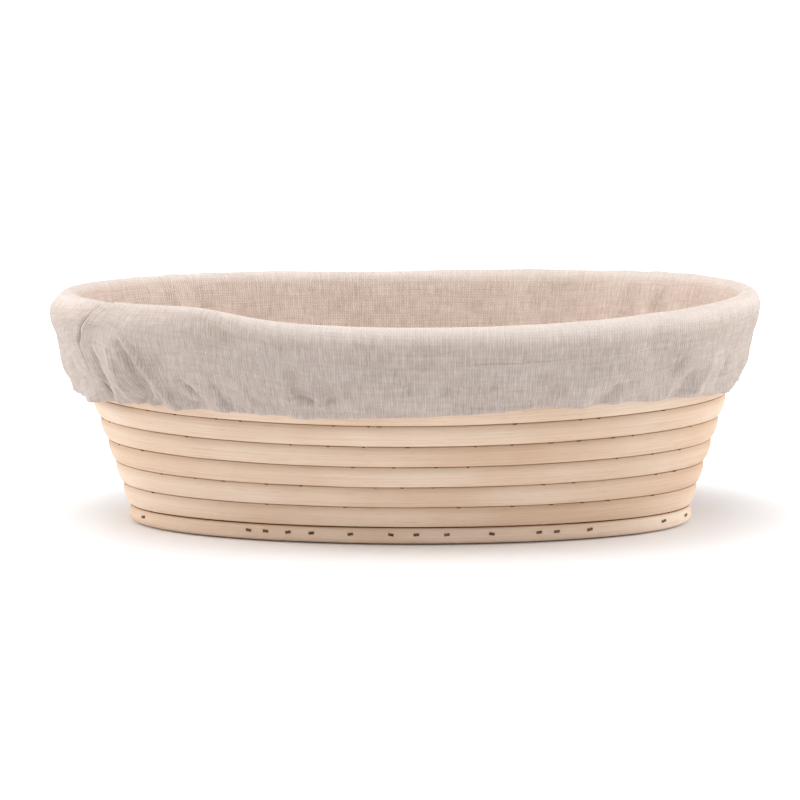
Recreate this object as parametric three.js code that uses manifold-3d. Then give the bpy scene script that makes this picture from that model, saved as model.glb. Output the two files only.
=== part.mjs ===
// Oval banneton: a coiled rattan proofing basket with a removable cloth liner.
// Millimetres, +Z up. The origin is the centre of the underside; +X runs along the length.
import * as THREE from 'three';
import { ParametricGeometry } from 'three/addons/geometries/ParametricGeometry.js';
import { mergeVertices } from 'three/addons/utils/BufferGeometryUtils.js';
import Module from 'manifold-3d';

const wasm = await Module();
wasm.setup();

// ---- driving dimensions ----
const fitGap = 0.3;             // clearance between any two pieces

// outer face of the base ring, seen from above: an ellipse
const baseHalfLength = 102.2;
const baseHalfWidth = 42;

// cane: split rattan, nearly flat outside and ridged inside
const coilPitch = 8.66;         // one turn to the next, measured up the slope of the wall
const caneDepth = 5.8;          // through the wall, from the groove line to the inner ridge
const faceBulge = 0.5;          // the outer face stands this proud of the groove line
const wallTurns = 9;            // turns above the base ring, the last one is the rim
const rimExtra = 1.2;           // the rim turn is this much taller
const baseRingHeight = 6.4;
const endSlope = THREE.MathUtils.degToRad(17);      // lean of the wall at the two ends
const flankSlope = THREE.MathUtils.degToRad(25.1);  // lean of the wall at the long sides
const stepsRound = 44;

// floor: straight canes laid lengthwise, cut to the oval, on three cross battens
const floorStrips = 8;
const battenX = [-52, 0, 52];
const battenWidth = 9;
const battenThickness = 1.5;
const floorBottom = battenThickness + fitGap;
const floorDepth = 4;
const floorCrown = 0.7;         // the rounded top rises this much

// flat-headed brads through the base ring: angles in degrees, spaced by eye
const nailAngles = [12, 31, 55, 72, 84, 97, 113, 131, 158, 178,
  202, 238, 242, 247, 252, 260, 268, 273, 279, 288, 298, 302, 310, 334, 348];
const nailHeight = 4;
const nailHeadWidth = 2;
const nailShankWidth = 1.1;
const nailThickness = 0.95;     // head and shank alike, as brads are cut from a strip
const nailHeadDepth = 0.5;
const nailPoint = 0.8;
const nailLength = 9;
const nailProud = 0.15;
const nailTilt = THREE.MathUtils.degToRad(13);      // the most that a head is out of level

// liner: one wall strip folded over the rim, an oval bottom panel, elastic in the hem
const clothThickness = 1;
const linerEase = 0.7;          // the liner hangs this far clear of the cane inside
const hemAt = 5.4;              // turns up the wall where the hem lies
const skirtBelly = 3;           // greatest stand-off of the skirt's outer face
const foldAt = 3.2;             // the skirt starts this far below the rim's top edge
const elasticWidth = 5;
const elasticThickness = 0.5;
const hemCloth = 0.4;

const up = new THREE.Vector3(0, 0, 1);
const caneFront = -0.9;         // depth of the rounded edges beside a groove
const rimTop = wallTurns * coilPitch + rimExtra - fitGap;
const linerFace = -(caneDepth + linerEase);         // the liner's back, facing the ridges

// ---- the basket's surface ----

// A point on the base ellipse moved out along its normal, at a height.
function basePoint(angle, height, out, target) {
  const nx = Math.cos(angle) / baseHalfLength;
  const ny = Math.sin(angle) / baseHalfWidth;
  const length = Math.hypot(nx, ny);
  return target.set(
    baseHalfLength * Math.cos(angle) + out * nx / length,
    baseHalfWidth * Math.sin(angle) + out * ny / length,
    height);
}

// A point of the wall: along is the distance up its slope from the base ring,
// out the distance from the line of the grooves, square to the slope.
function wallPoint(angle, along, out, target) {
  const slope = endSlope + (flankSlope - endSlope) * Math.sin(angle) ** 2;
  const reach = along * Math.sin(slope) + out * Math.cos(slope);
  const height = baseRingHeight + along * Math.cos(slope) - out * Math.sin(slope);
  return basePoint(angle, height, reach, target);
}

// ---- geometry helpers ----

function positionsOnly(geometry) {
  geometry.deleteAttribute('normal');
  geometry.deleteAttribute('uv');
  return mergeVertices(geometry, 1e-4);
}

// Carries a closed section of (up, out) points round the basket, each set by place.
function sweepRound(section, place) {
  const count = section.length;
  const corners = THREE.ShapeUtils.isClockWise(section) ? section : [...section].reverse();
  const surface = (u, v, target) => {
    const corner = corners[Math.round(v * count) % count];
    const step = Math.round(u * stepsRound) % stepsRound;
    place(step / stepsRound * 2 * Math.PI, corner.x, corner.y, target);
  };
  return positionsOnly(new ParametricGeometry(surface, stepsRound, count));
}

function toSolid(geometry) {
  const merged = positionsOnly(geometry);
  return new wasm.Manifold(new wasm.Mesh({
    numProp: 3,
    vertProperties: new Float32Array(merged.attributes.position.array),
    triVerts: new Uint32Array(merged.index.array),
  }));
}

function fromSolid(solid) {
  const mesh = solid.getMesh();
  const geometry = new THREE.BufferGeometry();
  geometry.setAttribute('position', new THREE.BufferAttribute(mesh.vertProperties, 3));
  geometry.setIndex(new THREE.BufferAttribute(mesh.triVerts, 1));
  return geometry;
}

// The base ellipse moved in or out, as a flat shape.
function ovalShape(out) {
  const point = new THREE.Vector3();
  const corners = [];
  for (let i = 0; i < stepsRound; i++) {
    basePoint(i / stepsRound * 2 * Math.PI, 0, out, point);
    corners.push(new THREE.Vector2(point.x, point.y));
  }
  return new THREE.Shape(corners);
}

function slab(shape, bottom, thickness) {
  const geometry = new THREE.ExtrudeGeometry(shape, { depth: thickness, bevelEnabled: false });
  return geometry.translate(0, 0, bottom);
}

// ---- cane ----

// Section of one turn, in (along, out): shallow crown outside, deep ridge inside.
function caneSection(start, end) {
  const middle = (start + end) / 2;
  const shape = new THREE.Shape();
  shape.moveTo(start, caneFront);
  shape.quadraticCurveTo(start, 0.1, middle, faceBulge);
  shape.quadraticCurveTo(end, 0.1, end, caneFront);
  shape.lineTo(end, -caneDepth / 2);
  shape.lineTo(middle + 1.6, -caneDepth);
  shape.lineTo(middle - 1.6, -caneDepth);
  shape.lineTo(start, -caneDepth / 2);
  return shape.getPoints(2);
}

function wallRing(turn) {
  const start = (turn - 1) * coilPitch;
  const end = turn === wallTurns ? rimTop : turn * coilPitch - fitGap;
  return sweepRound(caneSection(start, end), wallPoint);
}

// The base ring stands upright on a flat bed, with a hole for each nail.
function baseRing(cutters) {
  const top = baseRingHeight - fitGap;
  const section = [
    [0, -2.4], [0.5, -1.2], [1.6, -0.2], [top / 2 + 0.6, faceBulge], [top - 0.8, 0], [top, -0.8],
    [top, -caneDepth + 1], [top / 2, -caneDepth], [0, -caneDepth + 1],
  ].map(([height, out]) => new THREE.Vector2(height, out));
  const ring = toSolid(sweepRound(section, basePoint));
  return fromSolid(cutters.reduce((solid, cutter) => solid.subtract(cutter), ring));
}

// ---- nails ----

// Flat T-shaped outline of a brad that points along -Y, grown by a clearance for its hole.
function nailOutline(grow) {
  const head = nailHeadWidth / 2 + grow;
  const shank = nailShankWidth / 2 + grow;
  const top = grow ? nailProud + 1 : nailProud;
  const shoulder = nailProud - nailHeadDepth - grow;
  return new THREE.Shape([
    [0, -nailLength - grow], [shank, nailPoint - nailLength - grow], [shank, shoulder],
    [head, shoulder], [head, top], [-head, top], [-head, shoulder], [-shank, shoulder],
    [-shank, nailPoint - nailLength - grow],
  ].map(([x, y]) => new THREE.Vector2(x, y)));
}

function nailAt(degrees, grow) {
  const angle = THREE.MathUtils.degToRad(degrees);
  const foot = basePoint(angle, nailHeight, faceBulge, new THREE.Vector3());
  const outward = basePoint(angle, nailHeight, faceBulge + 1, new THREE.Vector3()).sub(foot);
  const thickness = nailThickness + 2 * grow;
  const geometry = new THREE.ExtrudeGeometry(nailOutline(grow), {
    depth: thickness, bevelEnabled: false });
  geometry.translate(0, 0, -thickness / 2);
  geometry.rotateY(nailTilt * Math.sin(degrees));
  // the outline lies level, its point inwards
  const side = new THREE.Vector3().crossVectors(outward, up);
  geometry.applyMatrix4(new THREE.Matrix4().makeBasis(side, outward, up));
  return positionsOnly(geometry.translate(foot.x, foot.y, foot.z));
}

// ---- floor ----

// One lengthwise cane: a straight bar, cut to the oval and pierced by the nails.
function floorStrip(index, cutters) {
  const width = coilPitch - fitGap;
  const low = (index - floorStrips / 2) * coilPitch + fitGap / 2;
  const top = floorBottom + floorDepth;
  const shape = new THREE.Shape();
  shape.moveTo(low, floorBottom);
  shape.lineTo(low + width, floorBottom);
  shape.lineTo(low + width, top - floorCrown);
  shape.quadraticCurveTo(low + width / 2, top + floorCrown, low, top - floorCrown);
  const bar = new THREE.ExtrudeGeometry(shape, {
    depth: 2 * baseHalfLength, bevelEnabled: false, curveSegments: 4 });
  bar.translate(0, 0, -baseHalfLength);
  // the bar's depth goes to X, its section's x to Y
  bar.applyMatrix4(new THREE.Matrix4().makeBasis(
    new THREE.Vector3(0, 1, 0), up, new THREE.Vector3(1, 0, 0)));
  const oval = toSolid(slab(ovalShape(-caneDepth - fitGap), 0, baseRingHeight * 2));
  const cane = toSolid(bar).intersect(oval);
  return fromSolid(cutters.reduce((solid, cutter) => solid.subtract(cutter), cane));
}

// A flat cross batten under the floor canes, cut to the oval.
function crossBatten(x) {
  const bar = new THREE.BoxGeometry(battenWidth, 2 * baseHalfWidth, battenThickness);
  bar.translate(x, 0, battenThickness / 2);
  const oval = toSolid(slab(ovalShape(-caneDepth - fitGap), -1, baseRingHeight));
  return fromSolid(toSolid(bar).intersect(oval));
}

// ---- liner ----

// Wall of the liner: up the inside, over the rim, and down to the start of the skirt.
function linerWall() {
  const outer = faceBulge + fitGap;
  const section = [
    [-1.5, linerFace], [-1.5, linerFace - clothThickness],
    [rimTop, linerFace - clothThickness],
    [rimTop + 1.5, linerFace + 0.4],
    [rimTop + 2, -caneDepth / 2],
    [rimTop + 1.5, outer + 0.2],
    [rimTop, outer + clothThickness + 0.2],
    [rimTop - foldAt + fitGap, outer + clothThickness + 0.5],
    [rimTop - foldAt + fitGap, outer + 0.3],
    [rimTop - 0.4, outer],
    [rimTop + 0.6, -caneDepth / 2],
    [rimTop - 0.4, linerFace],
  ].map(([along, out]) => new THREE.Vector2(along, out));
  return sweepRound(section, wallPoint);
}

// Skirt of the liner: a puffed band outside the rim that ends in an open-backed casing.
function linerSkirt() {
  const inner = faceBulge + fitGap;
  const top = rimTop - foldAt;
  const hem = hemAt * coilPitch;
  const casing = elasticWidth + 2 * (hemCloth + fitGap);
  const back = inner + 2 * hemCloth + 2 * fitGap + elasticThickness;
  const section = [
    [top, inner + 0.3], [top, inner + clothThickness + 0.5],
    [top - 6, skirtBelly], [hem + casing + 4, skirtBelly - 0.3],
    [hem, back], [hem, inner],
    [hem + casing - 1.4, inner], [hem + casing - 1.4, inner + hemCloth],
    [hem + hemCloth, inner + hemCloth], [hem + hemCloth, back - hemCloth],
    [hem + casing, back - hemCloth], [top - 6, skirtBelly - clothThickness],
  ].map(([along, out]) => new THREE.Vector2(along, out));
  return sweepRound(section, wallPoint);
}

// Flat elastic lying inside the hem's casing.
function hemElastic() {
  const along = hemAt * coilPitch + hemCloth + fitGap;
  const out = faceBulge + hemCloth + 2 * fitGap;
  const section = [
    [along, out], [along + elasticWidth, out],
    [along + elasticWidth, out + elasticThickness], [along, out + elasticThickness],
  ].map(([a, b]) => new THREE.Vector2(a, b));
  return sweepRound(section, wallPoint);
}

function linerBottom() {
  return slab(ovalShape(linerFace - clothThickness - 0.5), baseRingHeight, clothThickness);
}

// ---- assembly ----

const finishes = {
  cane: { color: 0xd8b48c, roughness: 0.6, metalness: 0 },
  batten: { color: 0xcfa878, roughness: 0.65, metalness: 0 },
  nail: { color: 0x4a3a30, roughness: 0.5, metalness: 0.8 },
  linen: { color: 0xcdbcab, roughness: 0.95, metalness: 0 },
  elastic: { color: 0xe8e2d8, roughness: 0.9, metalness: 0 },
};

const basket = new THREE.Group();
const liner = new THREE.Group();

function addPiece(group, name, geometry, finish) {
  const piece = new THREE.Mesh(geometry, new THREE.MeshStandardMaterial(finishes[finish]));
  piece.name = name;
  group.add(piece);
}

const cutters = nailAngles.map((degrees) => toSolid(nailAt(degrees, fitGap)));
addPiece(basket, 'base_ring', baseRing(cutters), 'cane');
for (let turn = 1; turn < wallTurns; turn++) {
  addPiece(basket, `wall_ring_${turn}`, wallRing(turn), 'cane');
}
addPiece(basket, 'rim_ring', wallRing(wallTurns), 'cane');
for (let index = 0; index < floorStrips; index++) {
  addPiece(basket, `floor_cane_${index + 1}`, floorStrip(index, cutters), 'cane');
}
battenX.forEach((x, index) => {
  addPiece(basket, `cross_batten_${index + 1}`, crossBatten(x), 'batten');
});
nailAngles.forEach((degrees, index) => {
  addPiece(basket, `base_nail_${String(index + 1).padStart(2, '0')}`, nailAt(degrees, 0), 'nail');
});

addPiece(liner, 'liner_bottom', linerBottom(), 'linen');
addPiece(liner, 'liner_wall', linerWall(), 'linen');
addPiece(liner, 'liner_skirt', linerSkirt(), 'linen');
addPiece(liner, 'hem_elastic', hemElastic(), 'elastic');

const banneton = new THREE.Group();
banneton.name = 'banneton_basket';
banneton.add(basket, liner);
export default banneton;
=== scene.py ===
import bpy
import math
import numpy as np
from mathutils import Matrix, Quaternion, Vector


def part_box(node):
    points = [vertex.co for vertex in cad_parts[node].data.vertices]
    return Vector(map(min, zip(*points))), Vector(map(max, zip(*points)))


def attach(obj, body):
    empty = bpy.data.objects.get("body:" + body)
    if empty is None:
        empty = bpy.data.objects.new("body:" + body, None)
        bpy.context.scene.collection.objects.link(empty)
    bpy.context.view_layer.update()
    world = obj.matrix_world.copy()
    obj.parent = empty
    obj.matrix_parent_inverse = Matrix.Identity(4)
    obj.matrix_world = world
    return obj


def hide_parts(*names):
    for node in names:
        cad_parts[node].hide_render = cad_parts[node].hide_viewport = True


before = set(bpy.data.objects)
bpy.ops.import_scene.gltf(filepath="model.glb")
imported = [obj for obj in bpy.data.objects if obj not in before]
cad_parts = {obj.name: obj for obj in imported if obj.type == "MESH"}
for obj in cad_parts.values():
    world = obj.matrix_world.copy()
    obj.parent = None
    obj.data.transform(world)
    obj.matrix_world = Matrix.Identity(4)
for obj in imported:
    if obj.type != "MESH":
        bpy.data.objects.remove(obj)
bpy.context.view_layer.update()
mm = 0.001
softEdge = {"interpolation_type": "SMOOTHSTEP"}
print("frame loaded:", len(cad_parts), "nodes")

# The basket's rule, the same as for the cane rings in the frame: an upright base ellipse,
# and a wall that leans less at the ends than at the long sides.
wall = dict(
    crown=0.5 * mm,                  # outer face proud of the groove line
    pitch=8.66 * mm,                 # one turn of cane to the next, up the slope
    depth=5.8 * mm,                  # through the wall
    baseHeight=6.4 * mm,
    endSlope=math.radians(17),
    flankSlope=math.radians(25.1),
    turns=9,
    rimExtra=1.2 * mm,
    gap=0.3 * mm,
)
wall["halfLength"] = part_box("base_ring")[1].x - wall["crown"]
wall["halfWidth"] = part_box("base_ring")[1].y - wall["crown"]
rimTop = wall["turns"] * wall["pitch"] + wall["rimExtra"] - wall["gap"]


def fullTurn(count):
    # that many angles, evenly round, from the right end
    return np.linspace(0, 2 * math.pi, count, endpoint=False)


def basePoint(angle, height, out):
    nx = np.cos(angle) / wall["halfLength"]
    ny = np.sin(angle) / wall["halfWidth"]
    length = np.hypot(nx, ny)
    x = wall["halfLength"] * np.cos(angle) + out * nx / length
    y = wall["halfWidth"] * np.sin(angle) + out * ny / length
    return np.stack(np.broadcast_arrays(x, y, height), -1)


def wallSlope(angle):
    return wall["endSlope"] + (wall["flankSlope"] - wall["endSlope"]) * np.sin(angle) ** 2


def wallPoint(angle, along, out):
    # along: up the slope from the base ring; out: square to the wall, from the groove line
    slope = wallSlope(angle)
    reach = along * np.sin(slope) + out * np.cos(slope)
    height = wall["baseHeight"] + along * np.cos(slope) - out * np.sin(slope)
    return basePoint(angle, height, reach)


def feed(tree, node, inputs):
    # sets or links a node's inputs; a node given as a value stands for its first output
    for name, value in inputs.items():
        if isinstance(value, bpy.types.Node):
            value = value.outputs[0]
        if isinstance(value, bpy.types.NodeSocket):
            tree.links.new(value, node.inputs[name])
        else:
            node.inputs[name].default_value = value


def add(tree, kind, settings=None, inputs=None):
    # adds one node; settings that are one word name its operation, "stops" fill a colour ramp
    node = tree.nodes.new(kind)
    if isinstance(settings, str):
        settings = {"operation": settings}
    for name, value in (settings or {}).items():
        if name == "stops":
            elements = node.color_ramp.elements
            while len(elements) < len(value):
                elements.new(0.5)
            for element, (place, colour) in zip(elements, value):
                element.position = place
                element.color = hexColour(colour)
        else:
            setattr(node, name, value)
    feed(tree, node, inputs or {})
    return node


def hexColour(text):
    # sRGB hex to the linear values that sockets take
    parts = [int(text[i:i + 2], 16) / 255 for i in (1, 3, 5)]
    return tuple([c / 12.92 if c <= 0.04045 else ((c + 0.055) / 1.055) ** 2.4 for c in parts] + [1.0])


def newMaterial(name):
    material = bpy.data.materials.new(name)
    material.use_nodes = True
    tree = material.node_tree
    tree.nodes.clear()
    shader = add(tree, "ShaderNodeBsdfPrincipled")
    add(tree, "ShaderNodeOutputMaterial", inputs={"Surface": shader.outputs["BSDF"]})
    return material, tree, shader


def makeMesh(name, points, faces, material=None, smooth=True):
    mesh = bpy.data.meshes.new(name)
    mesh.from_pydata([tuple(p) for p in points], [], [tuple(f) for f in faces])
    mesh.polygons.foreach_set("use_smooth", [smooth] * len(mesh.polygons))
    mesh.update()
    piece = bpy.data.objects.new(name, mesh)
    bpy.context.scene.collection.objects.link(piece)
    if material:
        mesh.materials.append(material)
    return piece


def gridFaces(rows, columns, closeRows=False, closeColumns=False):
    # faces between neighbouring rows of points
    faces = []
    for i in range(rows if closeRows else rows - 1):
        for j in range(columns if closeColumns else columns - 1):
            a, b = i * columns, (i + 1) % rows * columns
            k = (j + 1) % columns
            faces.append((a + j, a + k, b + k, b + j))
    return faces


def makePath(name, points, tilts=None, closed=True):
    curve = bpy.data.curves.new(name, "CURVE")
    curve.dimensions = "3D"
    spline = curve.splines.new("POLY")
    spline.points.add(len(points) - 1)
    spline.use_cyclic_u = closed
    for i, point in enumerate(points):
        spline.points[i].co = (*point, 1)
        if tilts is not None:
            spline.points[i].tilt = tilts[i]
    path = bpy.data.objects.new(name, curve)
    bpy.context.scene.collection.objects.link(path)
    return path


def newTree(name, sockets):
    # a Geometry Nodes group with named inputs: (name, socket type, default)
    tree = bpy.data.node_groups.new(name, "GeometryNodeTree")
    for label, kind, value in [("Geometry", "NodeSocketGeometry", None)] + sockets:
        socket = tree.interface.new_socket(label, in_out="INPUT", socket_type=kind)
        if value is not None:
            socket.default_value = value
    tree.interface.new_socket("Geometry", in_out="OUTPUT", socket_type="NodeSocketGeometry")
    return tree, add(tree, "NodeGroupInput").outputs


def runTree(path, tree, values, name):
    # runs a tree on a path and keeps the result as a plain mesh
    modifier = path.modifiers.new(tree.name, "NODES")
    modifier.node_group = tree
    for item in tree.interface.items_tree:
        if item.in_out == "INPUT" and item.name in values:
            modifier[item.identifier] = values[item.name]
    depsgraph = bpy.context.evaluated_depsgraph_get()
    mesh = bpy.data.meshes.new_from_object(path.evaluated_get(depsgraph))
    path.modifiers.remove(modifier)
    bpy.data.objects.remove(path)
    mesh.name = name
    piece = bpy.data.objects.new(name, mesh)
    bpy.context.scene.collection.objects.link(piece)
    return piece


def join(pieces, name):
    # several plain meshes as one piece
    bpy.ops.object.select_all(action="DESELECT")
    for piece in pieces:
        piece.select_set(True)
    bpy.context.view_layer.objects.active = pieces[0]
    bpy.ops.object.join()
    pieces[0].name = name
    pieces[0].data.name = name
    return pieces[0]


# Where the camera stands: distance, aim and clip start in metres, shifts as shares of the frame.
shot = dict(
    distance=0.9, elevation=math.radians(10.55), yaw=math.radians(3.7), roll=math.radians(0.57),
    aim=(0, 0, 0.0359), focal=111.5, sensor=36, clipStart=0.05, shiftX=-0.009625, shiftY=0.02825,
)


def makeCamera():
    camera = bpy.data.objects.new("camera", bpy.data.cameras.new("camera"))
    bpy.context.scene.collection.objects.link(camera)
    camera.data.lens = shot["focal"]
    camera.data.sensor_width = shot["sensor"]
    camera.data.clip_start = shot["clipStart"]
    yaw, elevation = shot["yaw"], shot["elevation"]
    back = Vector((math.sin(yaw) * math.cos(elevation),
                   -math.cos(yaw) * math.cos(elevation), math.sin(elevation)))
    camera.location = Vector(shot["aim"]) + back * shot["distance"]
    roll = Quaternion((0, 0, 1), -shot["roll"])
    camera.rotation_euler = ((-back).to_track_quat("-Z", "Y") @ roll).to_euler()
    camera.data.shift_x = shot["shiftX"]
    camera.data.shift_y = shot["shiftY"]
    bpy.context.scene.camera = camera


def makeLight(name, place, size, power):
    light = bpy.data.lights.new(name, "AREA")
    light.shape = "RECTANGLE"
    light.size, light.size_y = size
    light.energy = power
    lamp = bpy.data.objects.new(name, light)
    lamp.location = place
    lamp.rotation_euler = (-Vector(place)).to_track_quat("-Z", "Y").to_euler()
    bpy.context.scene.collection.objects.link(lamp)


def makeStudio():
    # a round table of white acrylic in a white room
    rim = [(0.8 * math.cos(a), 0.8 * math.sin(a), 0) for a in np.linspace(0, 2 * math.pi, 96)[:-1]]
    material, tree, shader = newMaterial("whiteAcrylic")
    # away from the middle it glows, for the camera only, so that the table ends in white
    place = add(tree, "ShaderNodeTexCoord").outputs["Object"]
    oval = add(tree, "ShaderNodeVectorMath", "MULTIPLY", {0: place, 1: (1.0, 1.35, 1.0)})
    away = add(tree, "ShaderNodeVectorMath", "LENGTH", {0: oval}).outputs["Value"]
    glow = add(tree, "ShaderNodeMapRange", softEdge, {
        "Value": away, "From Min": 0.1, "From Max": 0.23, "To Max": 0.6})
    seen = add(tree, "ShaderNodeLightPath").outputs["Is Camera Ray"]
    shown = add(tree, "ShaderNodeMath", "MULTIPLY", {0: glow, 1: seen})
    feed(tree, shader, {
        "Base Color": hexColour("#F6F6F8"), "Roughness": 0.8, "Emission Strength": shown,
        "Emission Color": (1, 1, 1, 1)})
    makeMesh("floor", rim, [range(len(rim))], material)
    world = bpy.data.worlds.new("studio")
    bpy.context.scene.world = world
    world.use_nodes = True
    tree = world.node_tree
    seen = add(tree, "ShaderNodeLightPath").outputs["Is Camera Ray"]
    strength = add(tree, "ShaderNodeMapRange", inputs={"Value": seen, "To Min": 0.42, "To Max": 1.1})
    room = tree.nodes["Background"]
    feed(tree, room, {"Color": (1, 1, 1, 1), "Strength": strength.outputs["Result"]})
    makeLight("softboxAbove", (-0.15, -0.35, 1.4), (1.2, 0.9), 15)
    makeLight("softboxLeft", (-1.5, 0.15, 0.45), (0.8, 0.9), 13.5)
    makeLight("softboxRight", (1.5, 0.2, 0.45), (0.8, 0.9), 14.5)
    bpy.context.scene.view_settings.view_transform = "Standard"


makeCamera()
makeStudio()
print("camera and studio made")

# Cane rings and floor: the groove and foot are how deep an edge is eased, the wobble is uneven splitting.
cane = dict(
    stepsRound=420, sides=44, groove=1.25 * mm, foot=2.0 * mm, wobble=0.16 * mm, floorBottom=1.8 * mm,
    floorTop=5.8 * mm, floorStrips=8, inset=6.15 * mm, battens=3, battenWidth=9 * mm,
    battenHeight=1.5 * mm, battenClear=0.02 * mm,
)


def caneMaterial(name, stops):
    # Rattan core: peeled, machine split and left unvarnished. Dry and matt, with long pores
    # and fibres along the cane, lighter and darker lengths, brown grime with painted shade in
    # the grooves, and painted shadow under the overhang of each turn.
    material, tree, shader = newMaterial(name)
    section = add(tree, "ShaderNodeAttribute", {"attribute_name": "section"})
    out, across, turn = add(tree, "ShaderNodeSeparateXYZ", inputs={
        "Vector": section.outputs["Vector"]}).outputs
    place = add(tree, "ShaderNodeTexCoord").outputs["Object"]
    x, y = add(tree, "ShaderNodeSeparateXYZ", inputs={"Vector": place}).outputs[:2]
    # fibres: real ones are 0.2 mm, drawn 0.5 mm wide so that they show, and 40 mm long
    side = add(tree, "ShaderNodeMath", "MULTIPLY_ADD", {0: across, 1: 1900.0, 2: turn})
    deep = add(tree, "ShaderNodeMath", "MULTIPLY_ADD", {0: out, 1: 1500.0, 2: side})
    fibrePlace = add(tree, "ShaderNodeCombineXYZ", inputs={
        "X": add(tree, "ShaderNodeMath", "MULTIPLY", {0: x, 1: 26.0}),
        "Y": add(tree, "ShaderNodeMath", "MULTIPLY", {0: y, 1: 26.0}),
        "Z": deep})
    fibres = add(tree, "ShaderNodeTexNoise", inputs={
        "Vector": fibrePlace, "Scale": 1.0, "Detail": 4.0, "Roughness": 0.6})
    # pores: sparse dark dashes, 3 to 8 mm long
    porePlace = add(tree, "ShaderNodeCombineXYZ", inputs={
        "X": add(tree, "ShaderNodeMath", "MULTIPLY", {0: x, 1: 150.0}),
        "Y": add(tree, "ShaderNodeMath", "MULTIPLY", {0: y, 1: 150.0}),
        "Z": add(tree, "ShaderNodeMath", "MULTIPLY", {0: deep, 1: 2.2})})
    pores = add(tree, "ShaderNodeTexNoise", inputs={
        "Vector": porePlace, "Scale": 1.0, "Detail": 1.0})
    # cloudy tone in 50 mm patches that change from turn to turn
    cloudPlace = add(tree, "ShaderNodeCombineXYZ", inputs={"X": x, "Y": y, "Z": turn})
    clouds = add(tree, "ShaderNodeTexNoise", inputs={
        "Vector": cloudPlace, "Scale": 15.0, "Detail": 3.0})
    tone = add(tree, "ShaderNodeMath", "MULTIPLY", {0: fibres.outputs["Fac"], 1: 0.4})
    tone = add(tree, "ShaderNodeMath", "MULTIPLY_ADD",
               {0: clouds.outputs["Fac"], 1: 0.6, 2: tone})
    base = add(tree, "ShaderNodeValToRGB", {"stops": stops}, {"Fac": tone})
    poreMask = add(tree, "ShaderNodeMapRange", inputs={
        "Value": pores.outputs["Fac"], "From Min": 0.38, "From Max": 0.28})
    poreShare = add(tree, "ShaderNodeMath", "MULTIPLY", {0: poreMask, 1: 0.2})
    pored = add(tree, "ShaderNodeMix", {"data_type": "RGBA"}, {0: poreShare, 
        6: base.outputs["Color"], 7: hexColour("#A67C57")})
    # painted shade, with some brown grime, where the cane's edge turns into the groove
    grooveGrimeAndShade = add(tree, "ShaderNodeMapRange", softEdge, {
        "Value": out, "From Min": -0.02 * mm, "From Max": -0.6 * mm})
    outerFaceShare = add(tree, "ShaderNodeMapRange", softEdge, {
        "Value": out, "From Min": -2.4 * mm, "From Max": -1.3 * mm})
    grooveGrimeAndShade = add(tree, "ShaderNodeMath", "MULTIPLY", {0: grooveGrimeAndShade, 1: outerFaceShare})
    # painted shadow under the overhang of the next turn, thinning out down the upper third of each turn
    overhangShadow = add(tree, "ShaderNodeMapRange", softEdge, {
        "Value": across, "From Min": -1.0 * mm, "From Max": -4.4 * mm, "To Max": 0.32})
    overhangShadow = add(tree, "ShaderNodeMath", "MULTIPLY", {0: overhangShadow, 1: outerFaceShare})
    grimeAndShade = add(tree, "ShaderNodeMath", "MAXIMUM", {0: grooveGrimeAndShade, 1: overhangShadow})
    # browns of the grime and painted groove shade, darker deepest in the groove
    deepest = add(tree, "ShaderNodeMapRange", inputs={
        "Value": out, "From Min": -0.35 * mm, "From Max": -1.1 * mm})
    grimeAndShadeColour = add(tree, "ShaderNodeMix", {"data_type": "RGBA"}, {
        0: deepest, 6: hexColour("#A87E58"), 7: hexColour("#6F4C30")})
    # the cane's colour with the grime, the painted groove shade and the painted overhang shadow mixed in
    caneWithGrimeAndShade = add(tree, "ShaderNodeMix", {"data_type": "RGBA"}, {
        0: grimeAndShade, 6: pored.outputs[2], 7: grimeAndShadeColour.outputs[2]})
    rough = add(tree, "ShaderNodeMapRange", inputs={
        "Value": fibres.outputs["Fac"], "To Min": 0.5, "To Max": 0.7})
    relief = add(tree, "ShaderNodeMath", "MULTIPLY_ADD",
                 {0: poreMask, 1: -0.5, 2: fibres.outputs["Fac"]})
    bump = add(tree, "ShaderNodeBump", inputs={
        "Strength": 0.5, "Distance": 0.1 * mm, "Height": relief})
    feed(tree, shader, {
        "Base Color": caneWithGrimeAndShade.outputs[2], "Roughness": rough, "Specular IOR Level": 0.35,
        "Normal": bump.outputs["Normal"]})
    return material


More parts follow.
